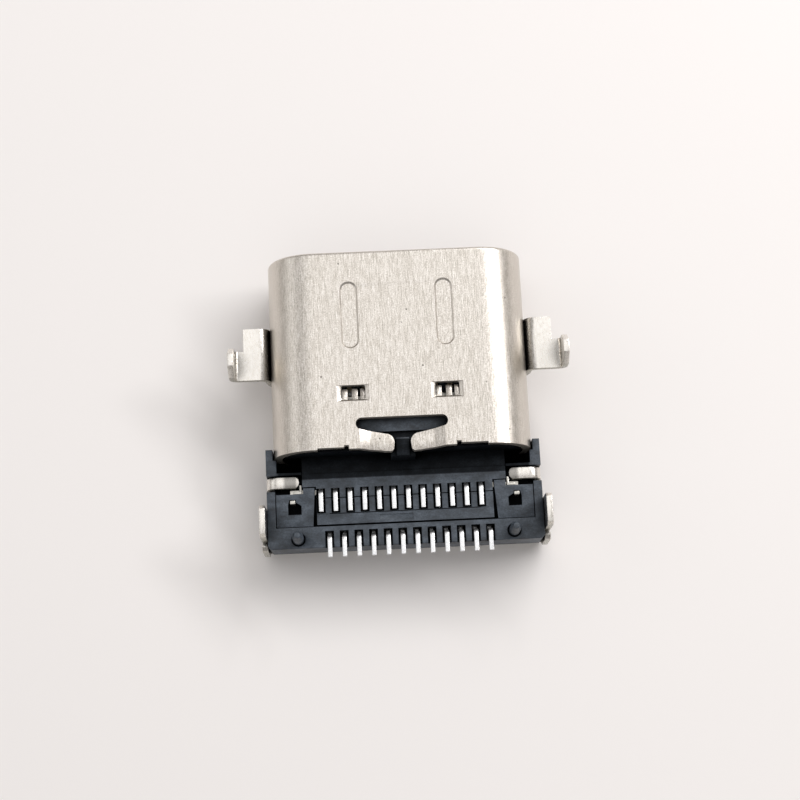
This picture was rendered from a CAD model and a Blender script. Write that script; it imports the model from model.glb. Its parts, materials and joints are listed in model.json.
# %% [markdown]
# # A board-edge socket on a pale table
#
# The part is a 24-contact receptacle for a reversible plug. It sits in a cut-out at the edge of a circuit
# board. Here it lies on the back of its stamped bracket, with the side that meets the board up and the
# mouth away from the viewer.
#
# Its 33 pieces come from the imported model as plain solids. This lesson softens their edges, gives them
# their metals and their moulding, bends the two rows of contacts from strip, and adds a table, light and
# a camera.

import json
import math
import bmesh
import bpy
from mathutils import Matrix, Vector


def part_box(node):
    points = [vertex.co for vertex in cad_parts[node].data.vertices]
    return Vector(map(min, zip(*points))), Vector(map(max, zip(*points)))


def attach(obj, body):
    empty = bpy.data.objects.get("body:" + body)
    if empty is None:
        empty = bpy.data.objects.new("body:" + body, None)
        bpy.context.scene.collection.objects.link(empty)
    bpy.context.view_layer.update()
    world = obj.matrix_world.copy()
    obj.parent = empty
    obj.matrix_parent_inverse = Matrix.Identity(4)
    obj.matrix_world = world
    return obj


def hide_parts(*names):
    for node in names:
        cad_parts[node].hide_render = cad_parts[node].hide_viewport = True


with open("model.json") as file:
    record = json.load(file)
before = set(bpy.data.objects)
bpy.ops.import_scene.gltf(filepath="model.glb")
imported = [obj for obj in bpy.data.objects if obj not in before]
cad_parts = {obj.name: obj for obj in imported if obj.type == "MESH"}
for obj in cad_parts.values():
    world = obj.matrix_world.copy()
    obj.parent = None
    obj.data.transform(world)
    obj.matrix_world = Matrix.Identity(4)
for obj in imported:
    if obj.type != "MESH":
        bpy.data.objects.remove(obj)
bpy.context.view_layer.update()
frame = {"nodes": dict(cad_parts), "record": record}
print("nodes:", len(frame["nodes"]))

# %% [markdown]
# ## Places
#
# Marks on the metal and the bends of the contacts need places on the part. They could be typed as plain
# coordinates, but a drawing of such a socket gives depths behind the rim of the mouth. So the rim is
# measured once, on the shell's own box, and a helper turns a depth into a coordinate.

# %% Find the mouth
mm = 0.001
shell_low, shell_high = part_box("shell")
mouth_y = shell_high.y
middle_z = (shell_low.z + shell_high.z) / 2
print("mouth at y", round(mouth_y / mm, 3), "mm, centre line at z", round(middle_z / mm, 3), "mm")


def depth(value):
    """The y coordinate of a depth behind the mouth in millimetres."""
    return mouth_y - value * mm


# %% [markdown]
# ## Camera
#
# The part is tiny, so the camera stands only about 60 mm away, with a moderately long lens that keeps the
# far end nearly as large as the near end. The view is steep, from a little behind the solder tails. A
# constraint could aim the camera at the part, but three small turns from looking straight down also give
# the slight lean of a part that was laid down by hand.

# %% Place the camera
camera_place = Vector((-1.11, -13.09, 60.27)) * mm
camera_degrees = {"X": 12.82, "Y": -1.06, "Z": -2.48}
camera_data = bpy.data.cameras.new("camera")
camera_data.lens = 77.2
camera_data.clip_start = 1 * mm
camera = bpy.data.objects.new("camera", camera_data)
bpy.context.scene.collection.objects.link(camera)
stand = Matrix.Translation(camera_place)
for axis, degrees in camera_degrees.items():
    stand = stand @ Matrix.Rotation(math.radians(degrees), 4, axis)
camera.matrix_world = stand
bpy.context.scene.camera = camera
print("camera", round(camera_place.length / mm, 1), "mm from the origin")

# %% [markdown]
# ## Nodes by script
#
# A material is a tree of nodes: patterns make colours, and the colours feed a shader. The nodes could be
# put together by hand, but a script can be read and run again. Colours are written in hex, as paint
# programs give them, and one function turns them into the linear light that a shader works in. One more
# function adds any node and fills it in. It takes plain values and links alike, so nothing else is needed
# for a tree.

# %% Colours and nodes


def linear(hex_colour):
    """Linear RGBA from an sRGB hex string."""
    parts = [int(hex_colour[i:i + 2], 16) / 255 for i in (1, 3, 5)]
    return [c / 12.92 if c <= 0.04045 else ((c + 0.055) / 1.055) ** 2.4 for c in parts] + [1.0]


def fill(tree, node, *values, **named):
    """Sets up a node and returns it.

    values go to its first inputs in order. A name in small letters is a property, and any other name is an
    input, with _ for a space. An input takes a plain value or a socket to link.
    """
    inputs = dict(enumerate(values))
    for name, value in named.items():
        if name.islower():
            setattr(node, name, value)
        else:
            inputs[name.replace("_", " ")] = value
    for place, value in inputs.items():
        if isinstance(value, bpy.types.NodeSocket):
            tree.links.new(value, node.inputs[place])
        else:
            node.inputs[place].default_value = value
    return node


def add(tree, kind, *values, **named):
    """Adds a node of any kind, set up as fill does it."""
    return fill(tree, tree.nodes.new(kind), *values, **named)


print("middle grey in linear light:", round(linear("#808080")[0], 3))

# %% [markdown]
# ## Patterns
#
# No sheet or moulding is quite even: the tool leaves a grain, and the grain shows as slightly different
# shades of one colour. An image could hold it, but it would need the meshes unwrapped. Computed noise has
# no seams, and it reads Object coordinates, so a grain keeps its real size in millimetres and stays where
# it is on the part. A second helper blends colours between chosen values of a pattern, and works for any
# number of them.

# %% Grain and shades
noise_span = (0.3, 0.7)  # nearly all values of a noise texture lie between these


def new_material(name, **shader):
    """A material, its tree and its Principled shader, with the shader's constant values set."""
    material = bpy.data.materials.new(name)
    material.use_nodes = True
    tree = material.node_tree
    return material, tree, fill(tree, tree.nodes["Principled BSDF"], **shader)


def grain(tree, size_mm, detail=4.0, roughness=0.6):
    """Noise whose grains have the given size along x, y and z in millimetres."""
    coords = add(tree, "ShaderNodeTexCoord").outputs["Object"]
    per_metre = [1 / (size * mm) for size in size_mm]
    mapped = add(tree, "ShaderNodeMapping", Vector=coords, Scale=per_metre).outputs["Vector"]
    noise = add(tree, "ShaderNodeTexNoise", Vector=mapped, Scale=1.0, Detail=detail, Roughness=roughness)
    return noise.outputs["Fac"]


def shades(tree, pattern, *steps):
    """A colour for each value of a pattern, blended between (value, hex colour) steps."""
    place, colour = steps[0][0], linear(steps[0][1])
    for next_place, next_colour in steps[1:]:
        share = add(tree, "ShaderNodeMapRange", pattern, place, next_place).outputs["Result"]
        next_colour = linear(next_colour)
        blend = add(tree, "ShaderNodeMix", data_type="RGBA", Factor=share, A=colour, B=next_colour)
        place, colour = next_place, blend.outputs["Result"]
    return colour


print("noise lies mostly between", *noise_span)

# %% [markdown]
# ## Shell metal: the drawn grain
#
# The shell is stainless strip that was drawn deep into an oval tube and nickel plated. Drawing pulls the
# surface into fine lines that run towards the mouth, over a faint mottle, and the plating gives a warm
# satin. An anisotropic shader would blur such lines into one sheen. Here they are seen one by one, so
# they are noise stretched along the tube. The real lines are a few thousandths of a millimetre wide. They
# are drawn 0.025 mm wide, which is as fine as this view can show, and the mottle is drawn coarser than it
# is for the same reason. The die ironed the corners smoother than the flat, so the contrast fades where
# the surface turns away.

# %% Lines and mottle
line_mm, mottle_mm = (0.025, 0.35, 0.025), (0.035, 0.05, 0.035)
relief_span = (0.78, 1.22)  # nearly all values of lines and mottle added together
corner_facing, flat_facing = 0.5, 0.98  # how far up the surface faces, from 0 to 1
corner_contrast = 0.2  # as a share of the contrast on the flat
shell_nickel, tree, bsdf = new_material("nickel_over_drawn_stainless")
lines = grain(tree, line_mm, roughness=0.7)
mottle = grain(tree, mottle_mm, roughness=0.75)
relief = add(tree, "ShaderNodeMath", lines, mottle, operation="ADD").outputs["Value"]
contrast = add(tree, "ShaderNodeMapRange", relief, *relief_span, -0.5, 0.5).outputs["Result"]
facing = add(tree, "ShaderNodeNewGeometry").outputs["Normal"]
upward = add(tree, "ShaderNodeSeparateXYZ", facing).outputs["Z"]
flatness = add(tree, "ShaderNodeMapRange", upward, corner_facing, flat_facing, corner_contrast, 1.0)
tone = add(tree, "ShaderNodeMath", contrast, flatness.outputs["Result"], 0.5, operation="MULTIPLY_ADD")
sheet = shades(tree, tone.outputs["Value"], (0.0, "#aaa399"), (0.5, "#d5cfc6"), (1.0, "#f8f4ef"))
print("grain of the shell:", len(tree.nodes), "nodes")

# %% [markdown]
# ## Shell metal: pits and narrow places
#
# Here and there the strip has a small dark pit. A Voronoi texture scatters one point in each cell and
# gives the distance to it, so the smallest distances are the pits.
#
# Metal in a narrow place mirrors only its dark neighbours, as in the lance windows and beside the lobes.
# Soft light alone leaves such places too bright. Dark faces could be modelled in, but an ambient
# occlusion node finds the places by itself: it measures how much of the view is closed within a short
# reach.

# %% Pits and shade
pit_spacing = 0.7 * mm
pit_size = 0.035  # a share of the spacing


def openness(tree, reach_mm, closed, clear, darkest):
    """1 where the view is clear, falling to darkest where surfaces within reach close it."""
    sky = add(tree, "ShaderNodeAmbientOcclusion", samples=8, Distance=reach_mm * mm).outputs["AO"]
    return add(tree, "ShaderNodeMapRange", sky, closed, clear, darkest, 1.0).outputs["Result"]


coords = add(tree, "ShaderNodeTexCoord").outputs["Object"]
cells = add(tree, "ShaderNodeTexVoronoi", Vector=coords, Scale=1 / pit_spacing).outputs["Distance"]
sound = add(tree, "ShaderNodeMapRange", cells, pit_size, 1.5 * pit_size).outputs["Result"]
pitted = add(tree, "ShaderNodeMix", data_type="RGBA", Factor=sound, A=linear("#6f6a62"), B=sheet)
shade = openness(tree, reach_mm=0.3, closed=0.35, clear=0.7, darkest=0.1)
pitted = pitted.outputs["Result"]
sheet = add(tree, "ShaderNodeVectorMath", operation="SCALE", Vector=pitted, Scale=shade).outputs["Vector"]
print("pits every", pit_spacing / mm, "mm, now", len(tree.nodes), "nodes")

# %% [markdown]
# ## Shell metal: sheared rims and the shader
#
# The rear rim of the tube was sheared off, and torn metal is duller than drawn metal and hardly mirrors.
# The rim could be a piece of its own with a second material, but every sheared face that shows looks back
# along the part, so the direction of the face picks it out. The true normal is read, because the shading
# normal bends over the softened edges. Less metallic there stands for torn metal, which scatters light
# all ways.

# %% Sheared rims


def cut_face(tree):
    """1 on faces that look back along the part and 0 on all others."""
    facing = add(tree, "ShaderNodeNewGeometry").outputs["True Normal"]
    back = add(tree, "ShaderNodeSeparateXYZ", facing).outputs["Y"]
    return add(tree, "ShaderNodeMapRange", back, -0.95, -0.85, 1.0, 0.0).outputs["Result"]


torn_metallic = 0.3
cut = cut_face(tree)
rimmed = add(tree, "ShaderNodeMix", data_type="RGBA", Factor=cut, A=sheet, B=linear("#a39f98"))
metal = add(tree, "ShaderNodeMapRange", cut, 0.0, 1.0, 1.0, torn_metallic).outputs["Result"]
satin = add(tree, "ShaderNodeMapRange", lines, *noise_span, 0.3, 0.4).outputs["Result"]
relief = add(tree, "ShaderNodeMath", relief, sound, operation="ADD").outputs["Value"]
bump = add(tree, "ShaderNodeBump", Height=relief, Strength=1.0, Distance=0.0025 * mm).outputs["Normal"]
fill(tree, bsdf, Base_Color=rimmed.outputs["Result"], Metallic=metal, Roughness=satin, Normal=bump)
print(shell_nickel.name, len(tree.nodes), "nodes")

# %% [markdown]
# ## Bracket metal
#
# The bracket is stamped from flat strip with the same plating. It was bent and never drawn, so it is
# smoother and brighter than the shell, with a fine even grain. That grain too is drawn as coarse as the
# view needs.
#
# Its two crimp tabs were pressed down on the base by a tool, which left them dull. They are part of the
# same strip, so they have no material of their own: a band of depth and a band of width mark them out. On
# the left tab the dull patch reaches a little further out, so the bands are centred just left of the
# part's middle.

# %% Nickel over stamped strip
tab_middle = (-0.1 * mm, depth(7.84))
tab_inner, tab_outer, tab_half_depth = 3.58, 3.98, 0.2  # mm from that middle
tab_dullness = 0.42


def within(tree, axis, middle, half_mm, fade_mm):
    """1 inside a band across an axis and 0 outside it. The middle is a coordinate on that axis."""
    coords = add(tree, "ShaderNodeTexCoord").outputs["Object"]
    along = add(tree, "ShaderNodeSeparateXYZ", coords).outputs[axis]
    gap = add(tree, "ShaderNodeMath", along, middle, operation="SUBTRACT").outputs["Value"]
    gap = add(tree, "ShaderNodeMath", gap, operation="ABSOLUTE").outputs["Value"]
    edge = (half_mm * mm, (half_mm + fade_mm) * mm)
    return add(tree, "ShaderNodeMapRange", gap, *edge, 1.0, 0.0).outputs["Result"]


strip_nickel, tree, bsdf = new_material("nickel_over_stamped_strip")
fine = grain(tree, (0.05, 0.15, 0.15), detail=5.0, roughness=0.7)
strip = shades(tree, fine, (0.3, "#d6d1c8"), (0.7, "#f6f3ee"))
pressed = within(tree, "Y", tab_middle[1], tab_half_depth, 0.04)
outer = within(tree, "X", tab_middle[0], tab_outer, 0.1)
inner = within(tree, "X", tab_middle[0], tab_inner, 0.06)
beside = add(tree, "ShaderNodeMath", outer, inner, operation="SUBTRACT").outputs["Value"]
pressed = add(tree, "ShaderNodeMath", pressed, beside, operation="MULTIPLY").outputs["Value"]
dull = add(tree, "ShaderNodeMapRange", pressed, 0.0, 1.0, 1.0, tab_dullness).outputs["Result"]
shade = openness(tree, reach_mm=0.9, closed=0.5, clear=0.9, darkest=0.2)
shade = add(tree, "ShaderNodeMath", dull, shade, operation="MULTIPLY").outputs["Value"]
strip = add(tree, "ShaderNodeVectorMath", operation="SCALE", Vector=strip, Scale=shade).outputs["Vector"]
print("crimp tabs marked at", tab_inner, "to", tab_outer, "mm from the middle")

# %% [markdown]
# ## Bracket metal: the shader
#
# The strip was cut out by a punch, so its edges are torn metal as well. Those that look back along the
# part take the same sheared look as the shell's rim, a little paler because the strip is. The others lie
# in the shade of the part or end on, and keep the plating's look.

# %% Shader of the bracket
cut = cut_face(tree)
rimmed = add(tree, "ShaderNodeMix", data_type="RGBA", Factor=cut, A=strip, B=linear("#b5b2a6"))
metal = add(tree, "ShaderNodeMapRange", cut, 0.0, 1.0, 1.0, torn_metallic).outputs["Result"]
satin = add(tree, "ShaderNodeMapRange", fine, *noise_span, 0.22, 0.36).outputs["Result"]
bump = add(tree, "ShaderNodeBump", Height=fine, Strength=1.0, Distance=0.003 * mm).outputs["Normal"]
fill(tree, bsdf, Base_Color=rimmed.outputs["Result"], Metallic=metal, Roughness=satin, Normal=bump)
print(strip_nickel.name, len(tree.nodes), "nodes")

# %% [markdown]
# ## Plates in the tongue
#
# The mid plate and the two ground collars are rolled stainless strip with no plating: greyer than the
# nickel, with faint rolling lines along the strip. Only the plate's solder feet are seen from outside, so
# a plain metal would nearly do, but the plates show in the mouth from the other side. The lines are drawn
# coarser than they are, like the shell's.

# %% Rolled stainless
plate_steel, tree, bsdf = new_material("rolled_stainless_strip", Metallic=1.0)
rolled = grain(tree, (0.03, 0.6, 0.03))
steel = shades(tree, rolled, (0.3, "#c4c2bb"), (0.7, "#dcdad3"))
satin = add(tree, "ShaderNodeMapRange", rolled, *noise_span, 0.28, 0.42).outputs["Result"]
fill(tree, bsdf, Base_Color=steel, Roughness=satin)
print(plate_steel.name, len(tree.nodes), "nodes")

# %% [markdown]
# ## Contacts
#
# Each contact is copper alloy strip, plated gold on the pads, where the plug wipes, and bright tin on the
# tail, where solder has to wet it. The two could be two materials on chosen faces. The plating lines lie
# across all contacts at one depth, though, so the depth decides, with a short fade as in the plating
# bath. The grain is a slight unevenness of the tin, drawn coarser than it is so that it shows at all.

# %% Tin and gold over copper alloy
gold_ends, gold_full = depth(4.8), depth(4.4)
contact_plating, tree, bsdf = new_material("tin_and_gold_over_copper_alloy", Metallic=1.0)
fine = grain(tree, (0.05, 0.05, 0.05))
tin = shades(tree, fine, (0.35, "#dcdee0"), (0.6, "#f8f9fa"))
gold = shades(tree, fine, (0.35, "#d9b45f"), (0.65, "#ecc877"))
coords = add(tree, "ShaderNodeTexCoord").outputs["Object"]
along = add(tree, "ShaderNodeSeparateXYZ", coords).outputs["Y"]
share = add(tree, "ShaderNodeMapRange", along, gold_ends, gold_full).outputs["Result"]
plated = add(tree, "ShaderNodeMix", data_type="RGBA", Factor=share, A=tin, B=gold).outputs["Result"]
satin = add(tree, "ShaderNodeMapRange", fine, *noise_span, 0.3, 0.42).outputs["Result"]
bump = add(tree, "ShaderNodeBump", Height=fine, Strength=1.0, Distance=0.001 * mm).outputs["Normal"]
fill(tree, bsdf, Base_Color=plated, Roughness=satin, Normal=bump)
print(contact_plating.name, len(tree.nodes), "nodes")

# %% [markdown]
# ## Moulding: colour
#
# The base, the tongue and the comb are liquid-crystal polymer filled with glass fibre, each moulded in
# one shot. The surface is nearly black with a faint blue cast where light rakes it. Fibres near the skin
# give it a fine grain, and the flow of the melt gives broad paler patches. A plain black plastic would
# look like paint, so both are noise at their own size, and they are multiplied: fibres show most where
# the flow is pale. The fibres are a hundredth of a millimetre thick and are drawn coarser, so that they
# show.

# %% Fibre and flow
moulding, tree, bsdf = new_material("glass_filled_polymer", IOR=1.6)
fibre = grain(tree, (0.07, 0.05, 0.07), detail=5.0, roughness=0.75)
flow = grain(tree, (0.5, 0.3, 0.5), detail=2.0)
mixed = add(tree, "ShaderNodeMath", fibre, flow, operation="MULTIPLY").outputs["Value"]
polymer = shades(tree, mixed, (0.13, "#212931"), (0.25, "#38414b"), (0.4, "#525c67"))
print("grain of the moulding:", len(tree.nodes), "nodes")

# %% [markdown]
# ## Moulding: dark places and the shader
#
# Slots and corners of a black moulding are darker still, and the trough between the shell and the comb is
# the darkest place of all. Openness darkens the slots. It has too short a reach for the trough, so two
# bands mark that one: its depth, and its width between the arms. The same shade dims the gloss, because a
# dark slot has no bright room to mirror.

# %% Shade of the moulding
trough_middle, trough_half = depth(7.2), 0.54
trough_half_width = 4.3
trough_light = 0.18
gloss = 0.45
across = within(tree, "Y", trough_middle, trough_half, 0.04)
between = within(tree, "X", 0.0, trough_half_width, 0.1)
trough = add(tree, "ShaderNodeMath", across, between, operation="MINIMUM").outputs["Value"]
trough = add(tree, "ShaderNodeMapRange", trough, 0.0, 1.0, 1.0, trough_light).outputs["Result"]
shade = openness(tree, reach_mm=0.9, closed=0.35, clear=0.9, darkest=0.08)
shade = add(tree, "ShaderNodeMath", shade, trough, operation="MULTIPLY").outputs["Value"]
polymer = add(tree, "ShaderNodeVectorMath", operation="SCALE", Vector=polymer, Scale=shade)
polymer = polymer.outputs["Vector"]
dimmed = add(tree, "ShaderNodeMath", shade, gloss, operation="MULTIPLY").outputs["Value"]
satin = add(tree, "ShaderNodeMapRange", fibre, *noise_span, 0.4, 0.58).outputs["Result"]
bump = add(tree, "ShaderNodeBump", Height=fibre, Strength=1.0, Distance=0.01 * mm).outputs["Normal"]
fill(tree, bsdf, Base_Color=polymer, Specular_IOR_Level=dimmed, Roughness=satin, Normal=bump)
print(moulding.name, len(tree.nodes), "nodes")

# %% [markdown]
# ## Which finish goes where
#
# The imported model's record gives each node a material slot. The slots could be typed again here, but
# reading them keeps the two in step.

# %% Match slots and finishes
finishes = {
    "shell_steel": shell_nickel,
    "bracket_steel": strip_nickel,
    "plate_steel": plate_steel,
    "contact_metal": contact_plating,
    "moulding_black": moulding,
}
slot_of = {entry["node"]: entry["material_slot"] for entry in frame["record"]["subparts"]}
print("finishes:", sorted(finishes))

# %% [markdown]
# ## Softened edges: a copy to work on
#
# No edge of the real part is perfectly sharp. Drawn sheet has the radius of its die, stamped strip is
# rolled over on one side, and a moulding has the small radius of its tool. The solids have ideal edges,
# which catch no light. A Bevel modifier can round them, but a solid's mesh is loose triangles, and a
# bevel needs corners that are joined and flat faces that are whole. So it works on a copy in which both
# are mended. The solid itself stays as it is for collision.

# %% Copy a solid's mesh
same_place = 0.0002 * mm
flat_within = math.radians(0.5)


def merged_copy(node, name):
    """A copy of a CAD node's mesh whose doubles are merged and whose flat faces are whole again."""
    mesh = frame["nodes"][node].data.copy()
    work = bmesh.new()
    work.from_mesh(mesh)
    bmesh.ops.remove_doubles(work, verts=work.verts, dist=same_place)
    bmesh.ops.dissolve_limit(work, angle_limit=flat_within, verts=work.verts, edges=work.edges)
    work.to_mesh(mesh)
    work.free()
    copy = bpy.data.objects.new(name, mesh)
    bpy.context.scene.collection.objects.link(copy)
    return copy


print("corners closer than", round(same_place / mm, 4), "mm are one")

# %% [markdown]
# ## Softened edges: from modifiers to a finished piece
#
# A live modifier is worked out again each time the scene changes, and the export wants plain meshes. So a
# piece's modifiers are baked into its mesh once. Then it gets its finish and takes the place of its
# solids.

# %% Bake and dress
body = "root"


def baked(piece):
    """Turns a piece's live modifiers into its mesh."""
    graph = bpy.context.evaluated_depsgraph_get()
    mesh = bpy.data.meshes.new_from_object(piece.evaluated_get(graph))
    piece.modifiers.clear()
    piece.data = mesh


def dress(piece, slot, *nodes):
    """Gives a finished piece its finish and lets it stand for its CAD nodes."""
    piece.data.materials.clear()
    piece.data.materials.append(finishes[slot])
    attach(piece, body)
    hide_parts(*nodes)
    print(piece.name, len(piece.data.polygons), "faces")


print("every piece rides on", body)

# %% [markdown]
# ## Softened edges: round each large piece
#
# Drawn sheet has the roundest edges, so the shell gets the widest rounding and the mouldings the finest.
# Two segments are enough at this size. Weighted normals then keep the flat faces flat and let only the
# narrow rounding shine. Loop slide is off, because it drags the corners of long thin faces into a streak.
# A corner can still creep past the solid by a thousandth of a millimetre, so each one is held inside the
# solid's box.

# %% Round the edges
edge_mm = {
    "shell": 0.045,
    "bracket": 0.03,
    "housing": 0.012,
    "tongue": 0.015,
    "front_insulator": 0.012,
    "rear_insulator": 0.01,
    "mid_plate": 0.01,
    "ground_plate_board_side": 0.015,
    "ground_plate_far_side": 0.015,
}
edge_angle = math.radians(15)  # gentler bends belong to round walls


def soften(node, width_mm):
    """Makes the finished piece of a node, with its edges rounded."""
    piece = merged_copy(node, "finished_" + node)
    piece.data.shade_smooth()
    bevel = piece.modifiers.new("edges", "BEVEL")
    bevel.width = width_mm * mm
    bevel.segments = 2
    bevel.limit_method = "ANGLE"
    bevel.angle_limit = edge_angle
    bevel.use_clamp_overlap = True
    bevel.loop_slide = False
    piece.modifiers.new("normals", "WEIGHTED_NORMAL").weight = 100
    baked(piece)
    low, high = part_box(node)
    for vertex in piece.data.vertices:
        vertex.co = [min(max(c, a), b) for c, a, b in zip(vertex.co, low, high)]
    dress(piece, slot_of[node], node)


for node, width in edge_mm.items():
    soften(node, width)

# %% [markdown]
# ## Contact rows: the inputs of a tree
#
# The socket holds two rows of twelve contacts. Each contact is one strip, blanked and bent: a wide pad on
# the tongue, a run through the mouldings and a narrow solder tail. Twelve could be placed by hand. A
# Geometry Nodes tree instead makes one from a few sizes and repeats it at the pitch, and both rows share
# the tree. Its inputs are named for the sizes that a maker would give.

# %% Name the inputs
row_tree = bpy.data.node_groups.new("contact_row", "GeometryNodeTree")
row_inputs = {
    "Path": "Geometry",
    "Contacts": "Int",
    "Pitch": "Float",
    "Bend radius": "Float",
    "Strip": "Float",
    "Tail width": "Float",
    "Pad width": "Float",
    "Sideways step": "Float",
    "Step start": "Float",
    "Step end": "Float",
    "Edge radius": "Float",
    "Finish": "Material",
}
for name, kind in row_inputs.items():
    row_tree.interface.new_socket(name, in_out="INPUT", socket_type="NodeSocket" + kind)
row_tree.interface.new_socket("Row", in_out="OUTPUT", socket_type="NodeSocketGeometry")
given = add(row_tree, "NodeGroupInput").outputs
print("inputs:", ", ".join(row_inputs))

# %% [markdown]
# ## Contact rows: one bent strip
#
# A press bends the strip over a small radius. In the tree a path of straight runs gets its corners
# rounded, and the strip's section, with its own slightly round edges, is swept along it. Bending a flat
# mesh would squeeze the corners, and a sweep keeps the thickness all the way.

# %% Sweep the strip
path = add(row_tree, "GeometryNodeMeshToCurve", Mesh=given["Path"]).outputs["Curve"]
path = add(row_tree, "GeometryNodeFilletCurve", mode="POLY", Count=5, Limit_Radius=True, Curve=path,
           Radius=given["Bend radius"]).outputs["Curve"]
section = add(row_tree, "GeometryNodeCurvePrimitiveQuadrilateral", Width=given["Strip"],
              Height=given["Tail width"]).outputs["Curve"]
section = add(row_tree, "GeometryNodeFilletCurve", mode="POLY", Count=2, Limit_Radius=True, Curve=section,
              Radius=given["Edge radius"]).outputs["Curve"]
strip = add(row_tree, "GeometryNodeCurveToMesh", Curve=path, Profile_Curve=section, Fill_Caps=True)
print("nodes for one strip:", len(row_tree.nodes))

# %% [markdown]
# ## Contact rows: pad and tail
#
# The pad is wider than the tail, and the tail stands half a pad to one side, because the tails of the two
# rows are set between each other on the board. Both changes happen over one short stretch of depth. A
# second section could be swept for the pad, but it is simpler to move the points of the swept strip
# sideways: a share that grows from 0 to 1 over the stretch takes the extra width away and puts the side
# step in.

# %% Widen the pad and step the tail
place = add(row_tree, "GeometryNodeInputPosition").outputs["Position"]
apart = add(row_tree, "ShaderNodeSeparateXYZ", place).outputs
step_share = add(row_tree, "ShaderNodeMapRange", apart["Y"], given["Step start"], given["Step end"])
step_share = step_share.outputs["Result"]
pad_share = add(row_tree, "ShaderNodeMath", 1.0, step_share, operation="SUBTRACT").outputs["Value"]
ratio = add(row_tree, "ShaderNodeMath", given["Pad width"], given["Tail width"], operation="DIVIDE")
wider = add(row_tree, "ShaderNodeMath", ratio.outputs["Value"], 1.0, operation="SUBTRACT")
wider = wider.outputs["Value"]
wider = add(row_tree, "ShaderNodeMath", wider, pad_share, operation="MULTIPLY").outputs["Value"]
widened = add(row_tree, "ShaderNodeMath", wider, apart["X"], operation="MULTIPLY").outputs["Value"]
side_step = given["Sideways step"]
shift = add(row_tree, "ShaderNodeMath", side_step, step_share, widened, operation="MULTIPLY_ADD")
offset = add(row_tree, "ShaderNodeCombineXYZ", X=shift.outputs["Value"]).outputs["Vector"]
contact = add(row_tree, "GeometryNodeSetPosition", Geometry=strip.outputs["Mesh"], Offset=offset)
print("nodes for one contact:", len(row_tree.nodes))

# %% [markdown]
# ## Contact rows: repeat at the pitch
#
# An array modifier would count from one end. A line of points can be centred on the part, and the contact
# is set on each point. The instances are made real at the end, because an export keeps only real mesh.

# %% Repeat the contact
gaps = add(row_tree, "ShaderNodeMath", given["Contacts"], 1.0, operation="SUBTRACT").outputs["Value"]
length = add(row_tree, "ShaderNodeMath", gaps, given["Pitch"], operation="MULTIPLY").outputs["Value"]
first_x = add(row_tree, "ShaderNodeMath", length, -0.5, operation="MULTIPLY").outputs["Value"]
start = add(row_tree, "ShaderNodeCombineXYZ", X=first_x).outputs["Vector"]
pace = add(row_tree, "ShaderNodeCombineXYZ", X=given["Pitch"]).outputs["Vector"]
row = add(row_tree, "GeometryNodeMeshLine", Count=given["Contacts"], Start_Location=start, Offset=pace)
row = add(row_tree, "GeometryNodeInstanceOnPoints", Points=row.outputs["Mesh"],
          Instance=contact.outputs["Geometry"])
row = add(row_tree, "GeometryNodeRealizeInstances", Geometry=row.outputs["Instances"])
row = add(row_tree, "GeometryNodeSetMaterial", Geometry=row.outputs["Geometry"], Material=given["Finish"])
add(row_tree, "NodeGroupOutput", Row=row.outputs["Geometry"])
print("nodes in the tree:", len(row_tree.nodes))

# %% [markdown]
# ## Contact rows: the sizes
#
# The standard for this socket fixes twelve contacts in a row at a pitch of half a millimetre. The strip
# is 0.15 mm thick, which a press can still bend over 0.11 mm. The pad is a little wider than the tail.
# Both rows have the same sizes, so these are set down once.

# %% Sizes of a row
strip_thick = 0.15 * mm
pad_ends, tail_begins = depth(6.5), depth(6.9)
tail_step = 0.125 * mm
row_sizes = {
    "Contacts": 12,
    "Pitch": 0.5 * mm,
    "Bend radius": 0.11 * mm,
    "Strip": strip_thick,
    "Tail width": 0.21 * mm,
    "Pad width": 0.25 * mm,
    "Step start": pad_ends,
    "Step end": tail_begins,
    "Edge radius": 0.012 * mm,
    "Finish": finishes["contact_metal"],
}
print("row length:", (row_sizes["Contacts"] - 1) * row_sizes["Pitch"] / mm, "mm")

# %% [markdown]
# ## Contact rows: a row from a path
#
# A row's object starts as a bare path of points joined by edges. The tree bends the contacts along it.
# The inputs are set by their identifiers, because names can repeat in a tree, and before the row is first
# worked out. The result is baked, its flat faces get a crease where they meet, and it stands for twelve
# solids.

# %% One row
crease = math.radians(40)


def contact_row(name, points, step):
    """A row along a path of (y, z) points, which stands for the CAD nodes name_01 and on."""
    mesh = bpy.data.meshes.new(name)
    runs = [(i, i + 1) for i in range(len(points) - 1)]
    mesh.from_pydata([(0, y, z) for y, z in points], runs, [])
    row = bpy.data.objects.new(name + "_row", mesh)
    bpy.context.scene.collection.objects.link(row)
    modifier = row.modifiers.new("row", "NODES")
    modifier.node_group = row_tree
    values = {**row_sizes, "Sideways step": step}
    for item in row_tree.interface.items_tree:
        if item.in_out == "INPUT" and item.name in values:
            modifier[item.identifier] = values[item.name]
    baked(row)
    row.data.shade_smooth()
    row.data.set_sharp_from_angle(angle=crease)
    dress(row, "contact_metal", *[f"{name}_{i:02d}" for i in range(1, row_sizes["Contacts"] + 1)])


print("creases from", round(math.degrees(crease)), "degrees on")

# %% [markdown]
# ## Contact rows: front row
#
# The front contacts lie on the tongue's board side. Behind the tongue each dips into the comb, runs under
# it and rises to the board. The heights come from the boxes of the solids, so the row stays on them.

# %% Bend the front row
pad_face_above_middle = 0.35 * mm
dip_from, dip_to = depth(6.94), depth(7.06)
rise_from, rise_to = depth(8.16), depth(8.27)


def contact_levels(node):
    """The y of the pad's tip and of the tail's end, and the z of the tail and of the lowest run."""
    low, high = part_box(node)
    return high.y, low.y, high.z - strip_thick / 2, low.z + strip_thick / 2


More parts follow.
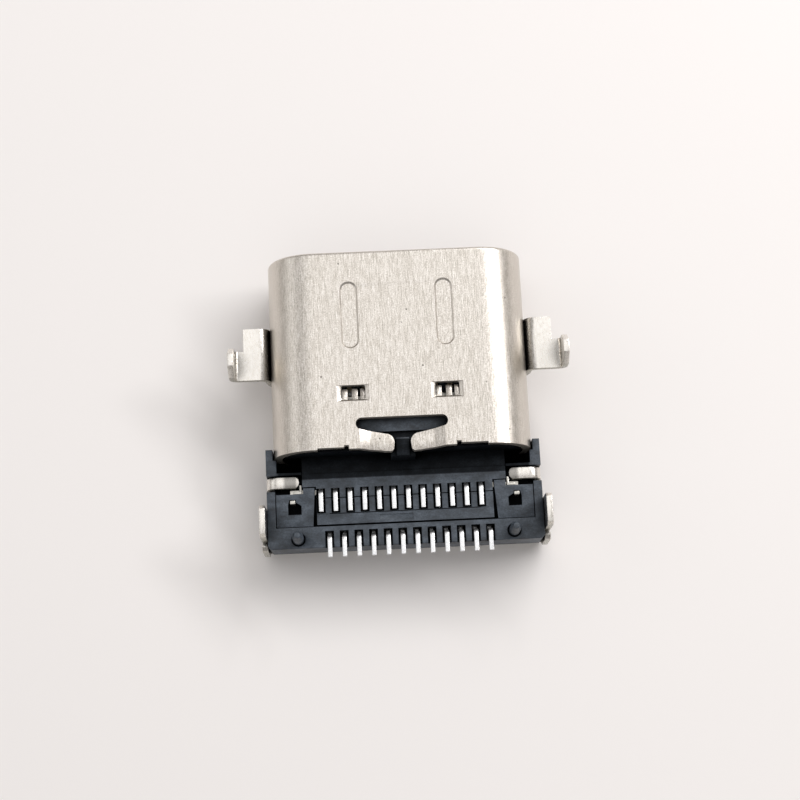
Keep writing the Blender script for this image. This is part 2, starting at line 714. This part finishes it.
tip, end, tail_z, dip_z = contact_levels("front_contact_01")
pad_z = middle_z + pad_face_above_middle - strip_thick / 2
contact_row("front_contact", [
    (tip, pad_z), (pad_ends, pad_z), (tail_begins, pad_z),
    (dip_from, pad_z), (dip_to, dip_z),
    (rise_from, dip_z), (rise_to, tail_z),
    (end, tail_z)], -tail_step)

# %% [markdown]
# ## Contact rows: rear row
#
# The rear contacts lie on the tongue's far side. They run straight back under the comb, rise steeply
# through slots in the base and turn over on top. Their tails step the other way, so they stand between
# the front ones. A round bend takes up some of the top run, so the rise stands 0.1 mm further back here
# than on the plain solids, out of sight in the base.

# %% Bend the rear row
riser = depth(9.8)
tip, end, tail_z, low_z = contact_levels("rear_contact_01")
contact_row("rear_contact", [
    (tip, low_z), (pad_ends, low_z), (tail_begins, low_z),
    (riser, low_z), (riser, tail_z),
    (end, tail_z)], tail_step)

# %% [markdown]
# ## Table
#
# The part lies on a matt, warm white table. A curved backdrop is usual for small products, but the view
# is so steep that the table fills it, and a plain square much larger than the part is enough.

# %% Lay the table
floor_half = 400 * mm
corners = [(-floor_half, -floor_half, 0), (floor_half, -floor_half, 0),
           (floor_half, floor_half, 0), (-floor_half, floor_half, 0)]
floor_mesh = bpy.data.meshes.new("floor")
floor_mesh.from_pydata(corners, [], [(0, 1, 2, 3)])
floor = bpy.data.objects.new("floor", floor_mesh)
bpy.context.scene.collection.objects.link(floor)
table, tree, bsdf = new_material("matt_white_table", Roughness=0.9, Specular_IOR_Level=0.1)
fill(tree, bsdf, Base_Color=linear("#f6f3f1"))
floor_mesh.materials.append(table)
print("table", 2 * floor_half / mm, "mm wide")

# %% [markdown]
# ## Light
#
# The shadow falls to the left and towards the viewer, soft at its rim and dark at the part. So the main
# source is a window: long, low and to the right beyond the mouth. A sun lamp would cut the shadow too
# hard. A broad ceiling lifts the top faces, and a pale far wall on the left keeps the shell's left corner
# bright. Each source is given by the radiance of its face, so a change of size doesn't change how bright
# it looks in the metal.

# %% Hang the lights


def soft_box(name, place_mm, width_mm, height_mm, radiance, colour="#ffffff"):
    """A rectangular area light aimed at the part, given by the radiance of its face."""
    data = bpy.data.lights.new(name, "AREA")
    data.shape = "RECTANGLE"
    data.size = width_mm * mm
    data.size_y = height_mm * mm
    data.energy = radiance * math.pi * data.size * data.size_y
    data.color = linear(colour)[:3]
    lamp = bpy.data.objects.new(name, data)
    lamp.location = Vector(place_mm) * mm
    lamp.rotation_mode = "QUATERNION"
    lamp.rotation_quaternion = (-Vector(place_mm)).to_track_quat("-Z", "Y")
    bpy.context.scene.collection.objects.link(lamp)
    print(name, round(data.energy, 4), "W")


soft_box("window", (84, 70, 100), 150, 20, 15.0, "#fffdfd")
soft_box("ceiling", (-10, 45, 180), 130, 110, 0.75)
soft_box("far_wall", (-120, 30, 70), 120, 60, 0.75)

# %% [markdown]
# ## Room
#
# Metal shows the room around it more than its own colour. This one is pale overhead, dimmer at table
# height and darkest behind the viewer. An image of a room could stand in for it, but two blends give the
# same soft steps, and each can be changed by itself.

# %% Surround the part
overhead, beyond, behind_viewer = (linear(shade) for shade in ("#f9f6f5", "#b9b4ae", "#5a5854"))
room_strength = 0.6
room = bpy.data.worlds.new("room")
room.use_nodes = True
tree = room.node_tree
way = add(tree, "ShaderNodeTexCoord").outputs["Generated"]
apart = add(tree, "ShaderNodeSeparateXYZ", way).outputs
lift = add(tree, "ShaderNodeMapRange", apart["Z"], 0.0, 0.8).outputs["Result"]
ahead = add(tree, "ShaderNodeMapRange", apart["Y"], -0.7, 0.3).outputs["Result"]
sides = add(tree, "ShaderNodeMix", data_type="RGBA", Factor=ahead, A=behind_viewer, B=beyond)
sky = add(tree, "ShaderNodeMix", data_type="RGBA", Factor=lift, A=sides.outputs["Result"], B=overhead)
fill(tree, tree.nodes["Background"], Color=sky.outputs["Result"], Strength=room_strength)
bpy.context.scene.world = room
bpy.context.scene.view_settings.view_transform = "Standard"
print("room of", len(tree.nodes), "nodes")
